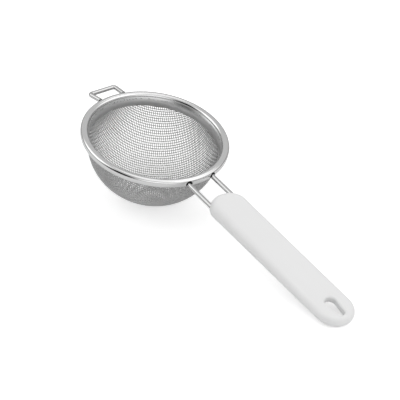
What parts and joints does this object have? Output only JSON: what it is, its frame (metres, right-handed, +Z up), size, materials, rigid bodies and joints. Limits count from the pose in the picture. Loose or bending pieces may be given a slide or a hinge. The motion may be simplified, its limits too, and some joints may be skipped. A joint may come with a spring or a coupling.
{
  "type": "tea strainer",
  "caption": "Small round tea strainer: woven wire bowl in a rolled steel rim with a rest hook, two handle wires and a flat moulded handle with a hanging hole.",
  "frame": {"origin": "centre of the overall box, on the table that the strainer lies on", "axes": "+X along the length towards the tail of the handle, +Y across, +Z up; the plane of the rim is tilted 11.19 degrees about Y, handle end down, as it rests"},
  "size_m": [0.1848, 0.075, 0.0429],
  "materials": {
    "polished_steel": "polished stainless sheet",
    "satin_steel": "satin stainless sheet",
    "woven_wire": "bright drawn stainless wire, plain weave",
    "wire_steel": "bright drawn stainless wire",
    "white_plastic": "fine satin moulded polypropylene, white"
  },
  "bodies": {
    "root": {"rim_bead": "polished_steel", "inner_band": "satin_steel", "mesh_bowl": "woven_wire", "hoop_wire": "wire_steel", "left_wire": "wire_steel", "right_wire": "wire_steel", "rest_hook": "wire_steel", "handle": "white_plastic"}
  },
  "joints": []
}
